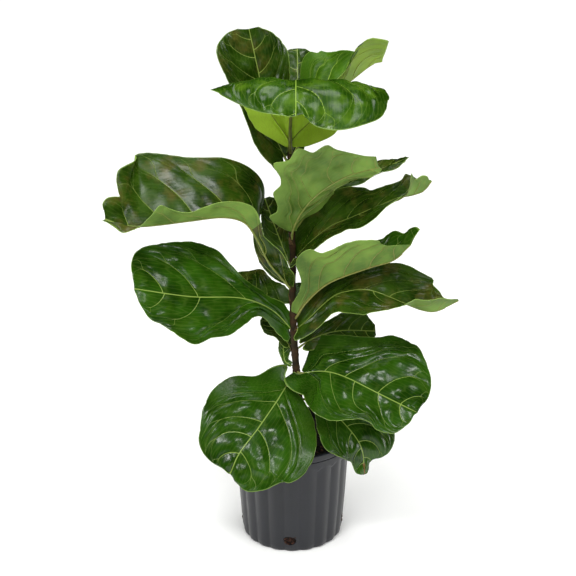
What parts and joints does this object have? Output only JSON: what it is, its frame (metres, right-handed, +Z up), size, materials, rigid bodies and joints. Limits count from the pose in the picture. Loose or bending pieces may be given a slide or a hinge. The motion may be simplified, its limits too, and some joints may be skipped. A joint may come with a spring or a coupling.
{
  "type": "potted fiddle leaf fig",
  "caption": "Tall single-stem houseplant with large waved violin-shaped leaves, standing in soil in a round ribbed nursery pot.",
  "frame": {"origin": "centre of the pot's base, where it stands", "axes": "+Z up along the stem, -Y towards the viewer of the picture, +X to the viewer's right"},
  "size_m": [0.7406, 0.429, 1.1561],
  "materials": {
    "pot_plastic": "satin moulded",
    "potting_soil": "rough crumbly",
    "bark": "matte fissured",
    "leaf": "waxy gloss above, matte below"
  },
  "bodies": {
    "root": {"pot": "pot_plastic", "soil": "potting_soil", "trunk": "bark", "leaf_top_left": "leaf", "leaf_top_back": "leaf", "leaf_top_right": "leaf", "leaf_top_front": "leaf", "leaf_centre_front": "leaf", "leaf_centre_back": "leaf", "leaf_right_high": "leaf", "leaf_right_under": "leaf", "leaf_right_long": "leaf", "leaf_right_small": "leaf", "leaf_left_high": "leaf", "leaf_left_inner": "leaf", "leaf_left_mid": "leaf", "leaf_left_back": "leaf", "leaf_low_mid": "leaf", "leaf_low_small": "leaf", "leaf_low_left": "leaf", "leaf_low_right": "leaf", "leaf_low_hang": "leaf"}
  },
  "joints": []
}
